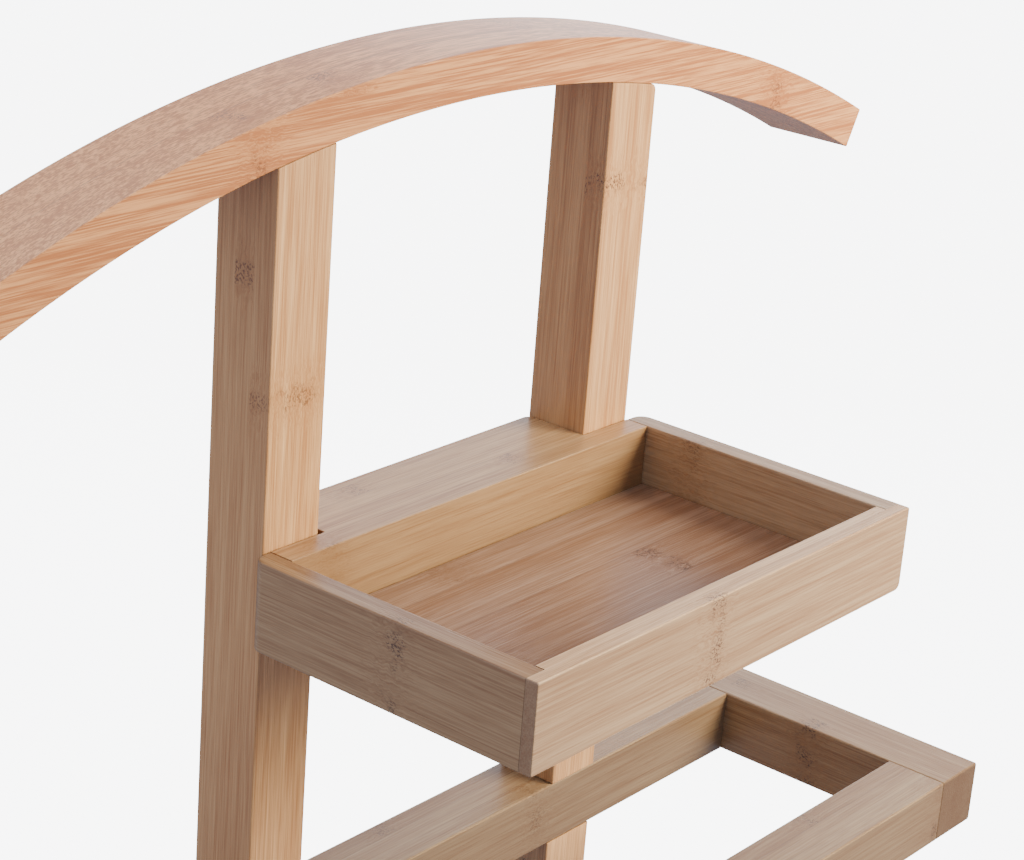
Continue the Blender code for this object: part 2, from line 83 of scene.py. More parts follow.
# widths of the glued strips across the grain; one wider than the piece leaves it in one ply
BOW_STRIPS = (0.0175, 0.06)
POST_STRIPS = (0.06, 0.0083)
BAR_STRIPS = (0.0083, 0.05)
RAIL_STRIPS = (0.05, 0.0083)
SLAT_STRIPS = (0.05, 0.05)
FRONT_STRIPS = (0.0043, 0.04)
SIDE_STRIPS = (0.04, 0.0043)
BEAM_STRIPS = (0.0078, 0.06)
FLOOR_STRIPS = (0.0215, 0.06)
# radius, then length or depth
SCREW_SEAT = (0.00405, 0.0034)
SCREW_SOCKET = (0.0012, 0.0015)
SCREW_SHANK = 0.002
SCREW_HEAD = 0.003
BOLT_SOCKET = (0.003, 0.004)
BOLT_SHANK = 0.004
BOLT_HEAD = 0.008
SUNK = 0.0002  # how far a head stays below its face
SPLIT = 0.0001  # between a head and its shank
BEVEL = 0.0008  # edge of a turned head


# ---------------------------------------------------------------- sizes


def low_of(node):
    return np.array(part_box(node)[0])


def high_of(node):
    return np.array(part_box(node)[1])


class StandSizes(bpy.types.PropertyGroup):
    """Sizes of the visible shapes that the frame's boxes don't give."""

    bow_radius: FloatProperty(
        name="Bow Radius", description="Radius of the bow's upper side", default=0.526, unit="LENGTH"
    )
    bow_thickness: FloatProperty(
        name="Bow Thickness", description="Height of the bow's front face", default=0.0155, unit="LENGTH"
    )
    bow_facets: IntProperty(
        name="Bow Facets", description="Facets along each of the bow's arcs", default=120, min=24
    )
    edge: FloatProperty(
        name="Bar Edge", description="Rounding of the bars' long edges", default=0.0008, unit="LENGTH"
    )
    bow_edge: FloatProperty(
        name="Bow Edge", description="Rounding of the bow's long edges", default=0.0005, unit="LENGTH"
    )
    post_edge: FloatProperty(
        name="Post Edge", description="Rounding of the posts' upright edges", default=0.0005, unit="LENGTH"
    )
    cope_corner: FloatProperty(
        name="Cope Corner", description="Rounding of the posts' top corners", default=0.0026, unit="LENGTH"
    )
    wall_edge: FloatProperty(
        name="Tray Edge", description="Rounding of the tray walls' rims", default=0.0006, unit="LENGTH"
    )
    lap: FloatProperty(
        name="Corner Lap", description="Thickness of the front wall where it laps a side wall",
        default=0.0046, unit="LENGTH",
    )
    wall_low_corner: FloatProperty(
        name="Tray Low Corner", description="Rounding of the front wall's lower right corner", default=0.0026,
        unit="LENGTH",
    )
    foot_seam: FloatProperty(
        name="Foot Seam", description="Open seam in front of the posts' feet", default=0.0007, unit="LENGTH"
    )
    notch_play: FloatProperty(
        name="Notch Play", description="Room beside the left post in its notch", default=0.0022, unit="LENGTH"
    )
    wall_rear_corner: FloatProperty(
        name="Tray Rear Corner", description="Rounding of the side walls' rear corners",
        default=0.005, unit="LENGTH",
    )
    floor_play: FloatProperty(
        name="Floor Play", description="Room round the tray's floor panel", default=0.0004, unit="LENGTH"
    )
    counterbore: FloatProperty(
        name="Counterbore", description="Radius of the recess round a base bolt's head",
        default=0.0068, unit="LENGTH",
    )
    counterbore_depth: FloatProperty(
        name="Counterbore Depth", description="Depth of that recess", default=0.0085, unit="LENGTH"
    )
    beam_corner: FloatProperty(
        name="Beam Corner", description="Rounding of the tray beam's rear corners",
        default=0.003, unit="LENGTH",
    )


class BambooColours(bpy.types.PropertyGroup):
    """Colours of the lacquered bamboo."""

    pale: FloatVectorProperty(
        name="Pale", description="Between the fibres",
        default=(0.78, 0.45, 0.205), subtype="COLOR", min=0, max=1,
    )
    tan: FloatVectorProperty(
        name="Tan", description="The fibres", default=(0.44, 0.19, 0.066), subtype="COLOR", min=0, max=1
    )
    dark: FloatVectorProperty(
        name="Dark", description="Growth nodes, glue lines, end grain",
        default=(0.16, 0.065, 0.025), subtype="COLOR",
        min=0, max=1,
    )


class StudioLight(bpy.types.PropertyGroup):
    """The soft studio light and the floor."""

    key_power: FloatProperty(
        name="Key Power", description="Power of the large soft light in front",
        default=22.0, min=0, unit="POWER",
    )
    key_size: FloatProperty(
        name="Key Size", description="Width of the large soft light in front",
        default=0.5, min=0.1, unit="LENGTH",
    )
    top_power: FloatProperty(
        name="Top Power", description="Power of the soft light overhead", default=1.7, min=0, unit="POWER"
    )
    side_power: FloatProperty(
        name="Side Power", description="Power of the weak light on the left", default=1.0, min=0, unit="POWER"
    )
    back_power: FloatProperty(
        name="Back Power", description="Power of the long light behind", default=24.0, min=0, unit="POWER"
    )
    ambient: FloatProperty(name="Ambient", description="Strength of the light all round", default=0.48, min=0)
    floor_glow: FloatProperty(
        name="Floor Glow", description="How strongly the floor is lit from behind", default=7.0, min=0
    )
    shadow_reach: FloatProperty(
        name="Shadow Reach", description="How far a piece darkens the floor close by", default=0.12, min=0,
        unit="LENGTH",
    )
    floor_reach: FloatProperty(
        name="Floor Reach", description="Radius of the flat floor", default=6.0, min=2, unit="LENGTH"
    )


# ---------------------------------------------------------------- surfaces


class Shell:
    """A mesh in the making: vertices with their own normals, an edge share for each, and faces."""

    def __init__(self):
        self.points = []
        self.normals = []
        self.edges = []
        self.faces = []
        self.count = 0

    def add(self, points, normals, edge):
        start = self.count
        self.points.append(points.reshape(-1, 3))
        self.normals.append(normals.reshape(-1, 3))
        self.edges.append(edge.reshape(-1))
        self.count += len(self.points[-1])
        return start

    def add_rings(self, start, rings, size, flip):
        """Quads between neighbouring rings of a closed grid."""
        k, i = np.meshgrid(np.arange(rings - 1), np.arange(size), indexing="ij")
        j = (i + 1) % size
        quads = np.stack([k * size + i, k * size + j, (k + 1) * size + j, (k + 1) * size + i], -1)
        self.add_faces(quads.reshape(-1, 4) + start, flip)

    def add_faces(self, faces, flip=False):
        faces = np.asarray(faces)
        self.faces += (faces[:, ::-1] if flip else faces).tolist()


def place_on(plane, flat, along):
    """Flat (u, v) and the third coordinate as (x, y, z): XY runs along Z, YZ along X, XZ along Y."""
    u, v = flat[..., 0], flat[..., 1]
    along = np.broadcast_to(along, u.shape)
    return np.stack({"XY": (u, v, along), "YZ": (along, u, v), "XZ": (u, along, v)}[plane], -1)


def rounded_outline(corners, radii, butts=(), steps=CORNER_STEPS):
    """An anticlockwise outline with an arc of the given radius at each corner.

    The arc's centre lies one radius inside both edges, and its points are that centre plus the
    radius times a unit direction that turns from one edge's outward normal to the next. A corner
    of radius 0 keeps its one point, with the mean of the two normals. butts are the edges, by the
    number of the corner where they start, that lie against another piece and stay where they are
    when the outline shrinks. Returns points, normals, edge shares, which are 1 in the middle of a
    convex arc and 0 at its ends, and the way that each point moves out as the outline grows.
    """
    corners = np.asarray(corners, float)
    into = corners - np.roll(corners, 1, 0)
    into /= np.linalg.norm(into, axis=1, keepdims=True)
    away = np.roll(into, -1, 0)
    turns = np.arctan2(into[:, 0] * away[:, 1] - into[:, 1] * away[:, 0], (into * away).sum(1))
    points, normals, shares, moves = [], [], [], []
    for number, (corner, edge, turn, radius) in enumerate(zip(corners, into, turns, radii)):
        outward = np.array([edge[1], -edge[0]])
        after = np.array([away[number][1], -away[number][0]])
        angles = np.linspace(0, turn, steps + 1) if radius else np.array([turn / 2])
        cos, sin = np.cos(angles), np.sin(angles)
        ways = np.stack([outward[0] * cos - outward[1] * sin, outward[0] * sin + outward[1] * cos], -1)
        side = math.copysign(1, turn)
        centre = corner - edge * radius * math.tan(abs(turn) / 2) - side * radius * outward
        points.append(centre + side * radius * ways)
        normals.append(ways)
        shares.append(np.sin(np.linspace(0, math.pi, len(angles))) * (side > 0) * (radius > SHARP))
        if (number - 1) % len(corners) in butts:
            moves.append(ways * 0 + after)
        elif number in butts:
            moves.append(ways * 0 + outward)
        elif 0 < radius <= SHARP:
            moves.append(ways * 0 + (outward + after) / (1 + outward @ after))
        else:
            moves.append(ways)
    return [np.concatenate(parts) for parts in (points, normals, shares, moves)]


def rectangle(low, high, radius, butts=()):
    """Its edges are numbered 0 below, 1 right, 2 above and 3 left."""
    corners = [(low[0], low[1]), (high[0], low[1]), (high[0], high[1]), (low[0], high[1])]
    radii = radius if np.ndim(radius) else [radius] * 4
    return rounded_outline(corners, radii, butts)


def circle(centre, radius, sides=48):
    angles = np.arange(sides) * TURN / sides
    ways = np.stack([np.cos(angles), np.sin(angles)], -1)
    return np.asarray(centre) + radius * ways, ways, np.zeros(sides), ways


def fill(points, holes=()):
    """Triangles between an outline and the holes in it, as indices into all their points in order."""
    loops = [points, *holes]
    starts = np.cumsum([0] + [len(loop) for loop in loops])
    edges = [
        (int(a), int(b))
        for loop, start in zip(loops, starts)
        for a, b in zip(range(start, start + len(loop)), np.roll(np.arange(len(loop)), -1) + start)
    ]
    flat = np.concatenate(loops)
    middle = flat.mean(0)
    scale = 1.0 / np.abs(flat - middle).max()
    verts = [Vector(p) for p in ((flat - middle) * scale).tolist()]
    found, _, faces, originals, _, _ = delaunay_2d_cdt(verts, edges, [], 1, 1e-7)
    if len(found) != len(flat):
        raise RuntimeError("an outline crosses itself")
    index = np.array([o[0] for o in originals])
    tris = index[np.array(faces)]
    centres = flat[tris].mean(1)
    for hole in holes:
        tris_keep = ~inside(centres, hole)
        tris, centres = tris[tris_keep], centres[tris_keep]
    tris = tris[inside(centres, points)]
    a, b, c = flat[tris[:, 0]], flat[tris[:, 1]], flat[tris[:, 2]]
    area = (b[:, 0] - a[:, 0]) * (c[:, 1] - a[:, 1]) - (b[:, 1] - a[:, 1]) * (c[:, 0] - a[:, 0])
    tris[area < 0] = tris[area < 0][:, ::-1]
    return tris


def inside(places, loop):
    """Whether each place lies in the loop: a ray to the right crosses its edges an odd number of times."""
    x, y = places[:, :1], places[:, 1:]
    a, b = loop, np.roll(loop, -1, 0)
    crosses = (a[:, 1] > y) != (b[:, 1] > y)
    rise = np.where(b[:, 1] == a[:, 1], 1, b[:, 1] - a[:, 1])
    at = a[:, 0] + (y - a[:, 1]) / rise * (b[:, 0] - a[:, 0])
    return (crosses & (at > x)).sum(1) % 2 == 1


def add_block(shell, outline, plane, low, high, rims, pockets=()):
    """An outline carried from low to high across its plane, with rounded rims.

    Across a rim of radius r, at angle t from 0 to a quarter turn, the outline is set in by
    r (1 - sin t) at r (1 - cos t) from the end, and its normal is sin t times the outline's own
    plus cos t times the end's. A pocket is (end, outline, depth), the end being 0 or 1.
    """
    points, normals, shares, moves = outline
    t = np.linspace(0, math.pi / 2, RIM_STEPS + 1)
    along = np.concatenate([low + rims[0] * (1 - np.cos(t)), high - rims[1] * (1 - np.cos(t[::-1]))])
    inset = np.concatenate([rims[0] * (1 - np.sin(t)), rims[1] * (1 - np.sin(t[::-1]))])
    tilt = np.concatenate([-np.cos(t), np.cos(t[::-1])])
    level = np.concatenate([np.sin(t), np.sin(t[::-1])])
    # how far each point lies into a rounded edge; the finish paints these edges paler, for sanding wear and
    # as a painted highlight
    wear_and_highlight = np.maximum(np.concatenate([np.sin(2 * t), np.sin(2 * t[::-1])])[:, None], shares * level[:, None])
    flat = points - inset[:, None, None] * moves
    grid = place_on(plane, flat, along[:, None])
    ways = place_on(plane, level[:, None, None] * normals, tilt[:, None])
    flip = plane == "XZ"
    size = len(points)
    start = shell.add(grid, ways, wear_and_highlight)
    shell.add_rings(start, len(along), size, flip)
    for end in (0, 1):
        own = [pocket for pocket in pockets if pocket[0] == end]
        holes = [add_pocket(shell, plane, pocket, (low, high)[end]) for pocket in own]
        ring = flat[-1 if end else 0]
        tris = fill(ring, [hole[0] for hole in holes])
        first = start + (len(along) - 1) * size * end
        index = [first + np.arange(size)] + [hole[1] + np.arange(len(hole[0])) for hole in holes]
        index = np.concatenate(index)
        shell.add_faces(index[tris], flip != (end == 0))


def add_pocket(shell, plane, pocket, level):
    """A recess with a slightly rounded mouth. Returns its mouth's outline and first vertex."""
    end, (points, normals, _, moves), depth = pocket
    down = -1 if end else 1
    t = np.linspace(0, math.pi / 2, 3)
    out = np.concatenate([CRISP * (1 - np.sin(t)), -CRISP * (1 - np.sin(t[::-1]))])
    sunk = np.concatenate([CRISP * (1 - np.cos(t)), depth - CRISP * (1 - np.cos(t[::-1]))])
    face = np.concatenate([np.cos(t), np.cos(t[::-1])])
    wall = np.concatenate([np.sin(t), np.sin(t[::-1])])
    flat = points + out[:, None, None] * moves
    grid = place_on(plane, flat, (level + down * sunk)[:, None])
    ways = place_on(plane, -wall[:, None, None] * normals, (-down * face)[:, None])
    start = shell.add(grid, ways, np.zeros(grid.shape[:2]))
    flip = (plane == "XZ") != (end == 0)
    shell.add_rings(start, len(out), len(points), flip)
    last = start + (len(out) - 1) * len(points)
    shell.add_faces(fill(flat[-1]) + last, flip)
    return flat[0], start


def finish_piece(name, shell, node, material, wood=None):
    """The shell as an object that rides on the stand and stands for the CAD node."""
    points, normals = np.concatenate(shell.points), np.concatenate(shell.normals)
    mesh = bpy.data.meshes.new(name)
    mesh.from_pydata(points.tolist(), [], shell.faces)
    mesh.polygons.foreach_set("use_smooth", np.ones(len(mesh.polygons), bool))
    if wood:
        wood.write(mesh, points, normals)
    add_values(mesh, "wear_and_highlight", np.concatenate(shell.edges))
    mesh.materials.append(material)
    mesh.update()
    mesh.normals_split_custom_set_from_vertices(normals.tolist())
    if mesh.validate():
        raise RuntimeError(f"{name} has a fault in its mesh")
    piece = bpy.data.objects.new(name, mesh)
    bpy.context.scene.collection.objects.link(piece)
    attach(piece, "root")
    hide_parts(node)
    return piece


class Wood:
    """How a piece was cut from the laminated bamboo.

    The fibres run along the axis. Each of the two axes after it is divided into strips of the
    widths, counted from start. The growth node of the strip with the given number lies at place
    along the axis, the next ones lie NODE_GAP apart, and those of each further strip lie a
    golden share of it on. The last argument multiplies the colour of the whole piece with painted
    light and shade, which makes it as dark or as cool as the light falling on it would.
    """

    def __init__(self, axis, widths, start, place=0.0, number=0, tint=(1, 1, 1)):
        self.axis = axis
        self.widths = np.array(widths)
        self.start = np.array(start)
        self.lead = NODE_GAP * (0.5 - GOLDEN * number) - place
        self.tint = np.array(tint, float)

    def write(self, mesh, points, normals):
        own = points[:, [self.axis, (self.axis + 1) % 3, (self.axis + 2) % 3]]
        strips = (own[:, 1:] - self.start) / self.widths
        shift = np.array([self.lead, self.lead * 0.37, self.lead * 0.71])
        add_vectors(mesh, "grain", own + shift)
        add_vectors(mesh, "strips", np.column_stack([strips, np.full(len(own), self.lead)]))
        add_vectors(mesh, "tint", np.broadcast_to(self.tint, own.shape))
        add_values(mesh, "end", np.abs(normals[:, self.axis]))


def add_vectors(mesh, name, values):
    attribute = mesh.attributes.new(name, "FLOAT_VECTOR", "POINT")
    attribute.data.foreach_set("vector", np.asarray(values, np.float32).reshape(-1))


def add_values(mesh, name, values):
    attribute = mesh.attributes.new(name, "FLOAT", "POINT")
    attribute.data.foreach_set("value", np.asarray(values, np.float32).reshape(-1))


# ---------------------------------------------------------------- finishes


class Graph:
    """Short words for building a material's nodes."""

    def __init__(self, name):
        self.material = bpy.data.materials.new(name)
        self.material.use_nodes = True
        self.tree = self.material.node_tree
        self.shader = self.tree.nodes["Principled BSDF"]

    def node(self, kind, **settings):
        made = self.tree.nodes.new(kind)
        for key, value in settings.items():
            setattr(made, key, value)
        return made

    def put(self, socket, value):
        if isinstance(value, bpy.types.NodeSocket):
            self.tree.links.new(value, socket)
        elif isinstance(value, (tuple, list)) and len(value) == 3 and socket.type == "RGBA":
            socket.default_value = (*value, 1.0)
        else:
            socket.default_value = value

    def math(self, operation, a, b=0.0, c=0.0, clamp=False):
        made = self.node("ShaderNodeMath", operation=operation, use_clamp=clamp)
        for socket, value in zip(made.inputs, (a, b, c)):
            self.put(socket, value)
        return made.outputs[0]

    def vector(self, operation, a, b):
        made = self.node("ShaderNodeVectorMath", operation=operation)
        self.put(made.inputs[0], a)
        self.put(made.inputs[3 if operation == "SCALE" else 1], b)
        return made.outputs[0]

    def split(self, vector):
        made = self.node("ShaderNodeSeparateXYZ")
        self.put(made.inputs[0], vector)
        return made.outputs[0], made.outputs[1], made.outputs[2]

    def join(self, x, y, z):
        made = self.node("ShaderNodeCombineXYZ")
        for socket, value in zip(made.inputs, (x, y, z)):
            self.put(socket, value)
        return made.outputs[0]

    def attribute(self, name, value=False):
        made = self.node("ShaderNodeAttribute", attribute_name=name)
        return made.outputs["Fac" if value else "Vector"]

    def noise(self, vector, scale=1.0, detail=2.0, rough=0.5, distortion=0.0):
        made = self.node("ShaderNodeTexNoise")
        self.put(made.inputs["Vector"], vector)
        self.put(made.inputs["Scale"], scale)
        self.put(made.inputs["Detail"], detail)
        self.put(made.inputs["Roughness"], rough)
        self.put(made.inputs["Distortion"], distortion)
        return made.outputs[0]

    def spots(self, vector, scale=1.0):
        made = self.node("ShaderNodeTexVoronoi")
        self.put(made.inputs["Vector"], vector)
        self.put(made.inputs["Scale"], scale)
        return made.outputs["Distance"]

    def random(self, value):
        made = self.node("ShaderNodeTexWhiteNoise", noise_dimensions="1D")
        self.put(made.inputs["W"], value)
        return made.outputs["Value"], made.outputs["Color"]

    def ramp(self, value, low, high, to_low=0.0, to_high=1.0):
        """value from low..high to to_low..to_high, eased and held at both ends."""
        made = self.node("ShaderNodeMapRange", interpolation_type="SMOOTHSTEP")
        for socket, number in zip(made.inputs, (value, low, high, to_low, to_high)):
            self.put(socket, number)
        return made.outputs[0]

    def mix(self, share, a, b, blend="MIX"):
        made = self.node("ShaderNodeMix", data_type="RGBA", blend_type=blend)
        self.put(made.inputs["Factor"], share)
        self.put(made.inputs[6], a)
        self.put(made.inputs[7], b)
        return made.outputs[2]

    def bump(self, height, strength, distance):
        made = self.node("ShaderNodeBump")
        self.put(made.inputs["Height"], height)
        self.put(made.inputs["Strength"], strength)
        self.put(made.inputs["Distance"], distance)
        self.put(self.shader.inputs["Normal"], made.outputs[0])

    def set(self, **values):
        for name, value in values.items():
            self.put(self.shader.inputs[name.replace("_", " ")], value)


def bamboo(name, pale, tan, dark, contrast, dash=0.5, node_depth=1.0, strip_change=0.5, gloss=0.3):
    """Lacquered laminated bamboo.

    Fibres are noise stretched along the grain, with dashes where a bundle of them surfaces. Every
    strip has its own tone and its own place for its growth nodes, where the fibres bend and small
    dark dots gather in a band.
    """
    g = Graph(name)
    grain = g.attribute("grain")
    along, _, _ = g.split(grain)
    strip_a, strip_b, lead = g.split(g.attribute("strips"))
    number = g.math("ADD", g.math("FLOOR", strip_a), g.math("MULTIPLY", g.math("FLOOR", strip_b), 3.0))
    tone, chances = g.random(g.math("ADD", number, g.math("MULTIPLY", lead, 91.7)))
    _, chance_b, chance_c = g.split(chances)
    # distance along the grain to the strip's nearest growth node
    turn = g.math("ADD", g.math("DIVIDE", along, NODE_GAP), g.math("MULTIPLY", number, GOLDEN))
    away = g.math("MULTIPLY", g.math("SUBTRACT", g.math("FRACT", turn), 0.5), NODE_GAP)
    wander = g.noise(grain, scale=260.0, detail=2.0)
    away = g.math("ADD", away, g.math("MULTIPLY", g.math("SUBTRACT", wander, 0.5), 0.008))
    gone = g.math("ABSOLUTE", away)
    near = g.ramp(gone, 0.0, NODE_HALO, 1.0, 0.0)
    band = g.ramp(gone, *NODE_BAND, 1.0, 0.0)
    # fibres bend round the growth node
    bend = g.node("ShaderNodeTexNoise")
    g.put(bend.inputs["Vector"], grain)
    g.put(bend.inputs["Scale"], 320.0)
    g.put(bend.inputs["Detail"], 1.0)
    push = g.vector("SUBTRACT", bend.outputs["Color"], (0.5, 0.5, 0.5))
    push = g.vector("SCALE", push, g.math("MULTIPLY", near, 0.0026))
    slow = g.noise(g.vector("MULTIPLY", grain, (4.0, 30.0, 30.0)), detail=1.0)
    drift = g.math("MULTIPLY", g.math("SUBTRACT", slow, 0.5), 0.0022)
    bent = g.vector("ADD", g.vector("ADD", grain, push), g.join(0.0, drift, drift))
    fine = g.noise(g.vector("MULTIPLY", bent, (28.0, 1750.0, 1750.0)), detail=3.0, rough=0.62)
    broad = g.noise(g.vector("MULTIPLY", bent, (5.0, 330.0, 330.0)), detail=2.0)
    bundles = g.spots(g.vector("MULTIPLY", bent, (70.0, 1100.0, 1100.0)))
    dashes = g.ramp(bundles, 0.12, 0.50, 1.0, 0.0)
    # a strip is denser towards one of its sides
    inner = g.math("FRACT", strip_a)
    mixed = g.math("MULTIPLY", g.math("SUBTRACT", fine, 0.5), 3.8 * contrast)
    mixed = g.math("ADD", mixed, g.math("MULTIPLY", g.math("SUBTRACT", broad, 0.5), 1.5 * contrast))
    mixed = g.math("ADD", mixed, g.math("MULTIPLY", g.math("SUBTRACT", tone, 0.5), strip_change))
    mixed = g.math("ADD", mixed, g.math("MULTIPLY", g.math("SUBTRACT", inner, 0.5), 0.3 * strip_change))
    share = g.math("ADD", mixed, 0.5, clamp=True)
    colour = g.mix(share, pale, tan)
    amount = g.math("MULTIPLY", dashes, g.math("MULTIPLY", g.math("ADD", inner, 0.35), dash))
    colour = g.mix(amount, colour, tan)
    # growth node: a clouded halo, a speckled band
    halo = g.math("MULTIPLY", near, g.math("MULTIPLY", chance_b, 0.40 * node_depth))
    colour = g.mix(halo, colour, tan)
    specks = g.vector("MULTIPLY", grain, (900.0, 1500.0, 1500.0))
    specks = g.ramp(g.noise(specks, detail=2.0, rough=0.6, distortion=0.5), 0.50, 0.60)
    patch = g.ramp(g.noise(grain, scale=75.0, detail=1.0), 0.40, 0.58)
    depth = g.math("MULTIPLY", g.math("ADD", chance_c, 0.35), g.math("MULTIPLY", patch, 0.80 * node_depth))
    speckle = g.math("MULTIPLY", g.math("MULTIPLY", specks, band), depth)
    colour = g.mix(speckle, colour, dark)
    # glue lines between strips
    seam_a = g.math("PINGPONG", strip_a, 0.5)
    seam = g.ramp(seam_a, 0.0, 0.025, 0.38, 0.0)
    colour = g.mix(seam, colour, dark)
    # sawn ends drink more lacquer
    end = g.ramp(g.attribute("end", True), 0.15, 0.95, 0.0, 0.70)
    colour = g.mix(end, colour, dark)
    # rounded edges paler: sanding wear and a painted highlight
    worn_and_highlit = g.math("MULTIPLY", g.attribute("wear_and_highlight", True), 0.10)
    colour = g.mix(worn_and_highlit, colour, pale)
    # painted light and shade of the whole piece multiply its colour
    colour = g.mix(1.0, colour, g.attribute("tint"), "MULTIPLY")
    rough = g.math("MULTIPLY_ADD", fine, 0.16, 0.34)
    rough = g.math("ADD", rough, g.math("MULTIPLY", end, 0.15))
    g.set(Base_Color=colour, Roughness=rough, Coat_Weight=gloss, Coat_Roughness=0.30)
    height = g.math("MULTIPLY_ADD", fine, 0.6, g.math("MULTIPLY", dashes, -0.5))
    height = g.math("SUBTRACT", height, g.math("MULTIPLY", speckle, 0.8))
    height = g.math("SUBTRACT", height, g.math("MULTIPLY", seam, 1.2))
    g.bump(height, 0.30, 0.00022)
    return g.material


def dowel_wood():
    """Raw turned beech: short pale flecks along the dowel."""
    g = Graph("raw_beech")
    place = g.node("ShaderNodeTexCoord").outputs["Object"]
    flecks = g.noise(g.vector("MULTIPLY", place, (900.0, 900.0, 900.0)), detail=2.0, rough=0.6)
    colour = g.mix(g.ramp(flecks, 0.3, 0.7), (0.50, 0.33, 0.19), (0.66, 0.47, 0.29))
    g.set(Base_Color=colour, Roughness=g.math("MULTIPLY_ADD", flecks, 0.2, 0.6))
    g.bump(flecks, 0.3, 0.0002)
    return g.material


def zinc():
    """Zinc plate: a fine cloudy bloom over bright steel."""
    g = Graph("zinc_plate")
    place = g.node("ShaderNodeTexCoord").outputs["Object"]
    cloud = g.noise(place, scale=700.0, detail=3.0)
    grit = g.noise(place, scale=4200.0, detail=2.0)
    colour = g.mix(g.ramp(cloud, 0.35, 0.65), (0.46, 0.47, 0.48), (0.66, 0.66, 0.64))
    g.set(Base_Color=colour, Metallic=1.0, Roughness=g.math("MULTIPLY_ADD", cloud, 0.22, 0.26))
    g.bump(grit, 0.2, 0.00004)
    return g.material


def brass():
    """Turned brass, dulled in patches."""
    g = Graph("turned_brass")
    place = g.node("ShaderNodeTexCoord").outputs["Object"]
    cloud = g.noise(place, scale=500.0, detail=3.0)
    lines = g.noise(g.vector("MULTIPLY", place, (60.0, 60.0, 5000.0)), detail=1.0)
    colour = g.mix(g.ramp(cloud, 0.35, 0.7), (0.70, 0.48, 0.18), (0.48, 0.33, 0.14))
    g.set(Base_Color=colour, Metallic=1.0, Roughness=g.math("MULTIPLY_ADD", cloud, 0.25, 0.28))
    g.bump(lines, 0.15, 0.00005)
    return g.material


def felt():
    """Pressed felt: matted fibres, paler where they stand up."""
    g = Graph("pressed_felt")
    place = g.node("ShaderNodeTexCoord").outputs["Object"]
    mat = g.noise(place, scale=2600.0, detail=4.0, rough=0.7, distortion=1.5)
    patch = g.noise(place, scale=240.0, detail=2.0)
    colour = g.mix(g.ramp(mat, 0.35, 0.7), (0.060, 0.042, 0.030), (0.21, 0.155, 0.11))
    colour = g.mix(g.math("MULTIPLY", patch, 0.4), colour, (0.12, 0.09, 0.07))
    g.set(Base_Color=colour, Roughness=0.95, Sheen_Weight=0.4, Sheen_Roughness=0.5)
    g.bump(mat, 0.8, 0.0004)
    return g.material


def shared(name, make, *args, **kwargs):
    """The material of that name, made the first time that it is asked for."""
    found = bpy.data.materials.get(name)
    return found or make(*args, **kwargs)


def lacquered(name, shade, contrast, dash, **settings):
    """The bamboo of that name, its three colours multiplied by the shade."""
    colours = bpy.context.scene.bamboo_colours
    three = [tuple(np.array(colour) * shade) for colour in (colours.pale, colours.tan, colours.dark)]
    return shared(name, bamboo, name, *three, contrast, dash, **settings)


def pale_bamboo():
    return lacquered("pale_lacquered_bamboo", (1, 1, 1), 0.6, 0.35, node_depth=1.35)


def warm_bamboo():
    shade = (1.22, 0.99, 0.84)
    return lacquered("warm_lacquered_bamboo", shade, 1.45, 1.1, node_depth=1.35, strip_change=0.35)


def floor_bamboo():
    # a darker bamboo, and painted shade of the tray's walls on its floor panel: darker and cooler
    shade = (0.52, 0.57, 0.84)
    return lacquered("dark_and_shaded_bamboo", shade, 0.7, 0.4, node_depth=1.9, strip_change=0.6)


# ---------------------------------------------------------------- pieces


def bar(node, axis, plane=None, glued=(0, 0), rims=None, radius=None, widths=BAR_STRIPS, pockets=(), **cut):
    """A straight bar that fills its CAD node's box, with the fibres along the axis.

    Its outline lies in the plane, at first the one that the axis crosses. glued is how far its low
    and high end are carried on to the pieces they are glued to. cut goes on to Wood.
    """
    low, high = low_of(node), high_of(node)
    low[axis] -= glued[0]
    high[axis] += glued[1]
    sizes = bpy.context.scene.stand_sizes
    radius = sizes.edge if radius is None else radius
    rims = (CRISP, CRISP) if rims is None else rims
    plane = plane or ("YZ", "XZ", "XY")[axis]
    across = {"YZ": 0, "XZ": 1, "XY": 2}[plane]
    u, v = ((1, 2), (0, 2), (0, 1))[across]
    shell = Shell()
    outline = rectangle((low[u], low[v]), (high[u], high[v]), radius)
    add_block(shell, outline, plane, low[across], high[across], rims, pockets)
    wood = Wood(axis, widths, low[[(axis + 1) % 3, (axis + 2) % 3]], **cut)
    return finish_piece(f"{node}_shown", shell, node, pale_bamboo(), wood)


def run(operator, context):
    """Build an operator's pieces with the scene's sizes."""
    operator.build(context.scene.stand_sizes)
    return {"FINISHED"}


class STAND_OT_hanger_bow(bpy.types.Operator):
    """Build the arched hanger bow"""

    bl_idname = "stand.hanger_bow"
    bl_label = "Hanger Bow"

    def execute(self, context):
        return run(self, context)

    def build(self, sizes):
        low, high = low_of("hanger_bow"), high_of("hanger_bow")
        outer = sizes.bow_radius
        inner = outer - sizes.bow_thickness
        centre = np.array([0.0, high[2] - outer])
        half = math.asin(high[0] / outer)
        edge = sizes.bow_edge
        lower = arc(centre, inner, -half + edge / inner, half - edge / inner, sizes.bow_facets, -1)
        right = end_corners(centre, half, inner, outer, edge, 1)
        upper = arc(centre, outer, half - edge / outer, -half + edge / outer, sizes.bow_facets, 1)
        left = end_corners(centre, -half, outer, inner, edge, -1)
        outline = [np.concatenate(parts) for parts in zip(lower, right, upper, left)]
        shell = Shell()
        add_block(shell, outline, "XZ", low[1], high[1], (edge * 0.9, edge * 0.9))
        wood = Wood(0, BOW_STRIPS, low[1:], place=-0.101)
        finish_piece("hanger_bow_shown", shell, "hanger_bow", warm_bamboo(), wood)


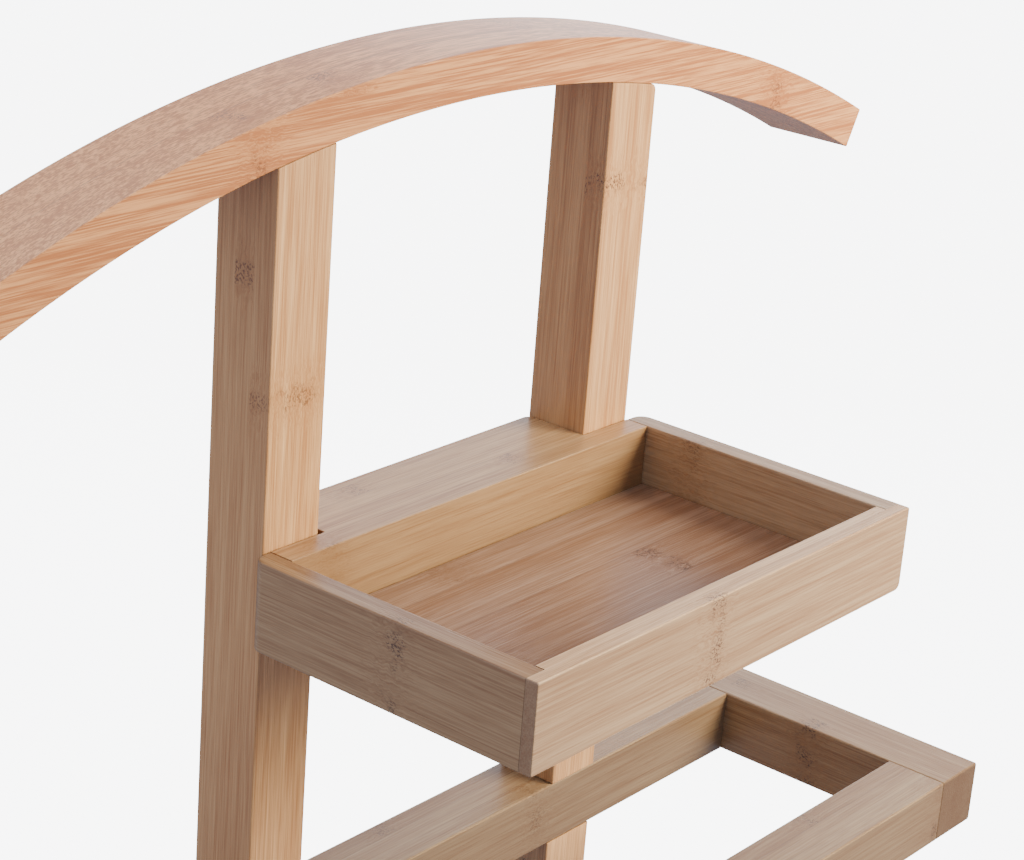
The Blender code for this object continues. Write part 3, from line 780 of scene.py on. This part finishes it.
def arc(centre, radius, start, stop, steps, side):
    """Points at centre + radius (sin a, cos a), a from start to stop, with normals side (sin a, cos a)."""
    angles = np.linspace(start, stop, steps + 1)[1:-1]
    ways = np.stack([np.sin(angles), np.cos(angles)], -1)
    return centre + radius * ways, side * ways, np.zeros(len(angles)), side * ways


def end_corners(centre, angle, first, second, radius, way):
    """The bow's radial end: two quarter arcs joined by the straight cut between them."""
    out = np.array([math.sin(angle), math.cos(angle)])
    side = np.array([math.cos(angle), -math.sin(angle)]) * way
    rise = math.copysign(1, second - first)
    t = np.linspace(0, math.pi / 2, CORNER_STEPS + 1)[:, None]
    share = np.sin(2 * t[:, 0])
    points, normals = [], []
    for level, begin, stop in ((first, -rise * out, side), (second, side, rise * out)):
        middle = centre + out * (level - (radius * rise * (1 if level == second else -1))) - side * radius
        ways = begin * np.cos(t) + stop * np.sin(t)
        points.append(middle + radius * ways)
        normals.append(ways)
    normals = np.concatenate(normals)
    return np.concatenate(points), normals, np.concatenate([share, share]), normals


class STAND_OT_posts(bpy.types.Operator):
    """Build the four posts, the upper two with their tops shaped to the bow"""

    bl_idname = "stand.posts"
    bl_label = "Posts"

    def execute(self, context):
        return run(self, context)

    def build(self, sizes):
        for hand, place in (("left", 0.950), ("right", 0.992)):
            self.upper(hand, place, sizes)
            bar(
                f"lower_post_{hand}", 2, radius=sizes.post_edge, glued=(GLUED, GLUED), widths=POST_STRIPS,
                place=place - 0.31,
            )

    def upper(self, hand, place, sizes):
        node = f"upper_post_{hand}"
        low, high = low_of(node), high_of(node)
        inner = sizes.bow_radius - sizes.bow_thickness - HAIR
        centre = high_of("hanger_bow")[2] - sizes.bow_radius
        last = sizes.cope_corner if hand == "right" else CRISP
        x = np.linspace(low[0], high[0], 17)[1:-1]
        x = x[(x > low[0] + CRISP * 1.2) & (x < high[0] - last * 1.2)][::-1]
        tops = np.stack([x, centre + np.sqrt(inner**2 - x**2)], -1)
        ends = np.array([high[0], low[0]])
        ends = np.stack([ends, centre + np.sqrt(inner**2 - ends**2)], -1)
        corners = np.concatenate([[(low[0], low[2]), (high[0], low[2])], ends[:1], tops, ends[1:]])
        radii = [CRISP, CRISP, last] + [0] * len(tops) + [CRISP]
        shell = Shell()
        pockets = [(1, circle(self.screw_place(hand), SCREW_SEAT[0]), SCREW_SEAT[1])]
        rims = (sizes.post_edge, sizes.post_edge)
        add_block(shell, rounded_outline(corners, radii, butts=(0,)), "XZ", low[1], high[1], rims, pockets)
        wood = Wood(2, POST_STRIPS, low[:2], place)
        finish_piece(f"{node}_shown", shell, node, pale_bamboo(), wood)

    def screw_place(self, hand):
        low, high = low_of(f"tray_screw_{hand}"), high_of(f"tray_screw_{hand}")
        middle = (low + high) / 2
        return middle[0], middle[2]


class STAND_OT_tray(bpy.types.Operator):
    """Build the tray: its rear beam, three walls and floor panel"""

    bl_idname = "stand.tray"
    bl_label = "Tray"

    def execute(self, context):
        return run(self, context)

    def build(self, sizes):
        self.beam(sizes)
        self.front(sizes)
        for hand, corner, place in (("left", 3, 0.0146), ("right", 2, 0.045)):
            self.side(hand, corner, place, sizes)
        self.floor(sizes)

    def front(self, sizes):
        """The front wall: a board as wide as the tray, thick between the side walls, that laps their ends."""
        node = "tray_front_wall"
        low, high = low_of(node), high_of(node)
        back = low[1] + sizes.lap
        edge = sizes.wall_edge
        shell = Shell()
        board = rectangle(low[::2], high[::2], [edge, sizes.wall_low_corner, edge, edge])
        add_block(shell, board, "XZ", low[1], back, (edge, FLUSH))
        left, right = high_of("tray_left_wall")[0] + HAIR, low_of("tray_right_wall")[0] - HAIR
        inner = rectangle((left, low[2] + FLUSH), (right, high[2]), [FLUSH, FLUSH, FLUSH, FLUSH])
        add_block(shell, inner, "XZ", back - FLUSH, high[1], (FLUSH, edge))
        wood = Wood(0, FRONT_STRIPS, low[1:], place=-0.010, tint=FRONT_PAINTED_LIGHT)
        finish_piece(f"{node}_shown", shell, node, pale_bamboo(), wood)

    def side(self, hand, corner, place, sizes):
        """A wall seen from above: its outline lies flat, and its rims are the top and bottom edges."""
        node = f"tray_{hand}_wall"
        low, high = low_of(node), high_of(node)
        low[1] = low_of("tray_front_wall")[1] + sizes.lap + HAIR
        high[1] = low_of("upper_post_left")[1] - sizes.foot_seam
        radii = [CRISP] * 4
        radii[corner] = sizes.wall_rear_corner
        shell = Shell()
        outline = rectangle(low[:2], high[:2], radii, butts=(0,))
        add_block(shell, outline, "XY", low[2], high[2], (sizes.wall_edge, sizes.wall_edge))
        wood = Wood(1, SIDE_STRIPS, (low[2], low[0]), place, tint=SIDE_PAINTED_SHADE[hand])
        finish_piece(f"{node}_shown", shell, node, pale_bamboo(), wood)

    def beam(self, sizes):
        """The rear beam, notched for the posts; the left notch has some play."""
        node = "tray_rear_beam"
        low, high = low_of(node), high_of(node)
        low[0] -= GLUED
        high[0] += GLUED
        post_front = low_of("upper_post_left")[1] - sizes.foot_seam
        left = high_of("upper_post_left")[0] + sizes.notch_play
        right = low_of("upper_post_right")[0] - CRISP
        corners = [(low[0], low[1]), (high[0], low[1]), (high[0], post_front), (right, post_front)]
        corners += [(right, high[1]), (left, high[1]), (left, post_front), (low[0], post_front)]
        radii = [CRISP] * 4 + [sizes.beam_corner] * 2 + [CRISP] * 2
        shell = Shell()
        add_block(shell, rounded_outline(corners, radii), "XY", low[2], high[2], (CRISP, CRISP))
        wood = Wood(0, BEAM_STRIPS, low[1:], place=0.03, number=1, tint=BEAM_PAINTED_SHADE)
        finish_piece(f"{node}_shown", shell, node, pale_bamboo(), wood)

    def floor(self, sizes):
        node = "tray_floor"
        low, high = low_of(node), high_of(node)
        wall = high_of("tray_left_wall")[0], high_of("tray_front_wall")[1]
        far = low_of("tray_right_wall")[0], low_of("tray_rear_beam")[1]
        play = sizes.floor_play
        outline = rectangle([a + play for a in wall], [a - play for a in far], CRISP)
        shell = Shell()
        add_block(shell, outline, "XY", low[2], high[2], (CRISP, CRISP))
        wood = Wood(0, FLOOR_STRIPS, low[1:], place=0.0428, number=2)
        finish_piece(f"{node}_shown", shell, node, floor_bamboo(), wood)


class STAND_OT_trouser_frame(bpy.types.Operator):
    """Build the trouser frame's four bars"""

    bl_idname = "stand.trouser_frame"
    bl_label = "Trouser Frame"

    def execute(self, context):
        return run(self, context)

    def build(self, sizes):
        for end, place in (("rear", 0.06), ("front", -0.09)):
            bar(f"trouser_{end}_bar", 0, glued=(GLUED, GLUED), place=place, tint=FRAME_PAINTED_SHADE)
        ends = (sizes.edge, sizes.edge)
        for hand, place in (("left", 0.07), ("right", 0.035)):
            bar(f"trouser_{hand}_bar", 1, rims=ends, widths=RAIL_STRIPS, place=place, tint=FRAME_PAINTED_SHADE)


class STAND_OT_base(bpy.types.Operator):
    """Build the base with its shoe rack"""

    bl_idname = "stand.base"
    bl_label = "Base and Shoe Rack"

    def execute(self, context):
        return run(self, context)

    def build(self, sizes):
        places = [self.bolt_place(hand) for hand in HANDS]
        bolts = [(0, circle(place, sizes.counterbore), sizes.counterbore_depth) for place in places]
        ends = (sizes.edge, sizes.edge)
        bar("base_rear_bar", 0, "XY", (GLUED, GLUED), ends, CRISP, pockets=bolts, place=0.08)
        bar("base_front_bar", 0, glued=(GLUED, GLUED), place=-0.05)
        for hand, place in (("left", 0.02), ("right", -0.06)):
            bar(f"base_{hand}_rail", 1, rims=ends, widths=RAIL_STRIPS, place=place)
        # a slat shows between the rails; its tenons are inside them
        tenon = high_of("base_left_rail")[0] - low_of("shoe_slat_1")[0] - HAIR
        for count in range(1, 6):
            bar(f"shoe_slat_{count}", 0, glued=(-tenon, -tenon), widths=SLAT_STRIPS, place=0.05 * count)

    def bolt_place(self, hand):
        middle = (low_of(f"base_bolt_{hand}") + high_of(f"base_bolt_{hand}")) / 2
        return middle[0], middle[1]


class STAND_OT_legs(bpy.types.Operator):
    """Build the legs and the felt pads under them"""

    bl_idname = "stand.legs"
    bl_label = "Legs and Pads"

    def execute(self, context):
        return run(self, context)

    def build(self, sizes):
        for number, (place, hand) in enumerate((p, h) for p in ("front", "rear") for h in HANDS):
            name = f"leg_{place}_{hand}"
            ends = (sizes.edge, CRISP)
            bar(name, 2, glued=(0, GLUED), rims=ends, widths=POST_STRIPS, place=0.02 + 0.11 * number)
            self.pad(f"pad_{place}_{hand}")

    def pad(self, node):
        low, high = low_of(node), high_of(node)
        middle = (low + high) / 2
        shell = Shell()
        outline = circle(middle[:2], (high[0] - low[0]) / 2 - 0.0001, 64)
        add_block(shell, outline, "XY", low[2], high[2], (0.0006, 0.0004))
        finish_piece(f"{node}_shown", shell, node, shared("pressed_felt", felt))


class STAND_OT_fasteners(bpy.types.Operator):
    """Build the screws and bolts whose heads show, and finish the hidden hardware"""

    bl_idname = "stand.fasteners"
    bl_label = "Fasteners"

    def execute(self, context):
        return run(self, context)

    def build(self, sizes):
        for hand in HANDS:
            self.tray_screw(f"tray_screw_{hand}")
            self.base_bolt(f"base_bolt_{hand}")
        hidden = {
            "dowel": ("raw_beech", dowel_wood),
            "insert": ("turned_brass", brass),
            "stud": ("zinc_plate", zinc),
        }
        for name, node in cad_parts.items():
            for word, (title, make) in hidden.items():
                if word in name:
                    node.data.materials.clear()
                    node.data.materials.append(shared(title, make))

    def tray_screw(self, node):
        low, high = low_of(node), high_of(node)
        x, _, z = (low + high) / 2
        head = (high[0] - low[0]) / 2
        shell = Shell()
        below = high[1] - SCREW_HEAD
        socket = (1, hexagon((x, z), SCREW_SOCKET[0]), SCREW_SOCKET[1])
        add_block(shell, circle((x, z), head), "XZ", below, high[1] - SUNK, (CRISP, BEVEL), [socket])
        add_block(shell, circle((x, z), SCREW_SHANK, 24), "XZ", low[1], below - SPLIT, (BEVEL, CRISP))
        finish_piece(f"{node}_shown", shell, node, shared("zinc_plate", zinc))

    def base_bolt(self, node):
        low, high = low_of(node), high_of(node)
        x, y, _ = (low + high) / 2
        head = (high[0] - low[0]) / 2
        shell = Shell()
        above = low[2] + BOLT_HEAD
        socket = (0, hexagon((x, y), BOLT_SOCKET[0]), BOLT_SOCKET[1])
        add_block(shell, circle((x, y), head), "XY", low[2] + SUNK, above, (BEVEL, CRISP), [socket])
        add_block(shell, circle((x, y), BOLT_SHANK, 24), "XY", above + SPLIT, high[2], (CRISP, 0.001))
        finish_piece(f"{node}_shown", shell, node, shared("zinc_plate", zinc))


def hexagon(centre, radius):
    angles = np.arange(6) * TURN / 6
    corners = np.asarray(centre) + radius * np.stack([np.cos(angles), np.sin(angles)], -1)
    return rounded_outline(corners, [radius * 0.12] * 6, steps=2)


class STAND_OT_studio(bpy.types.Operator):
    """Build the floor, the soft light and the camera"""

    bl_idname = "stand.studio"
    bl_label = "Studio"

    def execute(self, context):
        light = context.scene.studio_light
        self.floor(light)
        self.world(light)
        size = light.key_size
        key = (0.47, -0.57, 1.17)
        self.lamp("key_light", key, (0, 0.04, 0.95), (size, size), light.key_power, SUNNY, gloss=False)
        self.lamp("top_light", (-0.05, 0.30, 1.48), (0, 0.06, 0.95), (0.5, 0.5), light.top_power, WARM)
        self.lamp("side_light", (-0.50, 0.12, 1.08), (-0.1, 0.08, 1.0), (0.4, 0.4), light.side_power, COOL)
        self.lamp("back_light", (1.96, 1.55, 1.35), (0, 0, 0.95), (3.0, 1.0), light.back_power, COOL)
        self.camera()
        return {"FINISHED"}

    def floor(self, light):
        """A round floor that rises to a wall far out.

        Out to the reach it is flat. From there it follows a quarter circle of half the reach up to
        the wall, which rises by one reach more.
        """
        reach, bend = light.floor_reach, light.floor_reach / 2
        turn = np.linspace(0, math.pi / 2, 13)
        flat = reach * np.linspace(0.02, 1, 12)[:-1]
        radius = np.concatenate([flat, reach + bend * np.sin(turn), [reach + bend]])
        height = np.concatenate([np.zeros(11), bend * (1 - np.cos(turn)), [bend + reach]])
        around = np.arange(96) * TURN / 96
        grid = np.stack([
            radius[:, None] * np.cos(around),
            radius[:, None] * np.sin(around),
            np.broadcast_to(height[:, None], (len(radius), len(around))),
        ], -1)
        shell = Shell()
        start = shell.add(grid, grid * 0 + np.array([0, 0, 1.0]), grid[..., 0] * 0)
        shell.add_rings(start, len(radius), len(around), True)
        shell.add_faces([list(range(len(around)))])
        mesh = bpy.data.meshes.new("studio_floor")
        mesh.from_pydata(np.concatenate(shell.points).tolist(), [], shell.faces)
        mesh.polygons.foreach_set("use_smooth", np.ones(len(mesh.polygons), bool))
        g = Graph("studio_floor")
        # painted contact shadow: the glow fades where something stands close above the floor
        close = g.node("ShaderNodeAmbientOcclusion", samples=16)
        g.put(close.inputs["Distance"], light.shadow_reach)
        glow = g.ramp(close.outputs["AO"], 0.0, 1.0, 0.25 * light.floor_glow, light.floor_glow)
        g.set(Base_Color=(0.9, 0.9, 0.9), Roughness=1.0, Emission_Color=(1, 1, 1), Emission_Strength=glow)
        mesh.materials.append(g.material)
        floor = bpy.data.objects.new("studio_floor", mesh)
        floor.visible_diffuse = False
        floor.visible_glossy = False
        floor.visible_shadow = False
        bpy.context.scene.collection.objects.link(floor)

    def world(self, light):
        world = bpy.data.worlds.new("studio")
        world.use_nodes = True
        background = world.node_tree.nodes["Background"]
        background.inputs["Color"].default_value = (0.90, 0.97, 1.18, 1.0)
        background.inputs["Strength"].default_value = light.ambient
        bpy.context.scene.world = world

    def lamp(self, name, place, aim, size, power, colour, gloss=True):
        data = bpy.data.lights.new(name, "AREA")
        data.shape = "ELLIPSE" if size[0] == size[1] else "RECTANGLE"
        data.size, data.size_y = size
        data.energy = power
        data.color = colour
        lamp = bpy.data.objects.new(name, data)
        lamp.location = place
        lamp.rotation_euler = (Vector(aim) - Vector(place)).to_track_quat("-Z", "Y").to_euler()
        lamp.visible_camera = False
        lamp.visible_glossy = gloss
        bpy.context.scene.collection.objects.link(lamp)

    def camera(self):
        """The camera stands left of the front, above the bow, and leans a little."""
        data = bpy.data.cameras.new("camera")
        data.sensor_width = 36.0
        data.lens = 93.0
        data.clip_start = 0.01
        right = Vector((0.63925, -0.76564, 0.07181))
        down = Vector((-0.22957, -0.27913, -0.93241))
        ahead = Vector((0.73393, 0.57956, -0.35420))
        turn = Matrix((right, -down, -ahead)).transposed()
        camera = bpy.data.objects.new("camera", data)
        camera.matrix_world = Matrix.Translation((-0.6390, -0.4511, 1.2342)) @ turn.to_4x4()
        bpy.context.scene.collection.objects.link(camera)
        bpy.context.scene.camera = camera


OPERATORS = (
    STAND_OT_hanger_bow,
    STAND_OT_posts,
    STAND_OT_tray,
    STAND_OT_trouser_frame,
    STAND_OT_base,
    STAND_OT_legs,
    STAND_OT_fasteners,
    STAND_OT_studio,
)


class STAND_PT_panel(bpy.types.Panel):
    """The stand's pieces, one button each"""

    bl_idname = "STAND_PT_panel"
    bl_label = "Valet Stand"
    bl_space_type = "VIEW_3D"
    bl_region_type = "UI"
    bl_category = "Valet Stand"

    def draw(self, context):
        for operator in OPERATORS:
            self.layout.operator(operator.bl_idname)


CLASSES = (StandSizes, BambooColours, StudioLight, *OPERATORS, STAND_PT_panel)


def register():
    for cls in CLASSES:
        bpy.utils.register_class(cls)
    bpy.types.Scene.stand_sizes = PointerProperty(type=StandSizes)
    bpy.types.Scene.bamboo_colours = PointerProperty(type=BambooColours)
    bpy.types.Scene.studio_light = PointerProperty(type=StudioLight)


def unregister():
    del bpy.types.Scene.studio_light
    del bpy.types.Scene.bamboo_colours
    del bpy.types.Scene.stand_sizes
    for cls in reversed(CLASSES):
        bpy.utils.unregister_class(cls)


def main():
    register()
    bpy.ops.stand.hanger_bow()
    bpy.ops.stand.posts()
    bpy.ops.stand.tray()
    bpy.ops.stand.trouser_frame()
    bpy.ops.stand.base()
    bpy.ops.stand.legs()
    bpy.ops.stand.fasteners()
    bpy.ops.stand.studio()


if __name__ == "__main__":
    main()
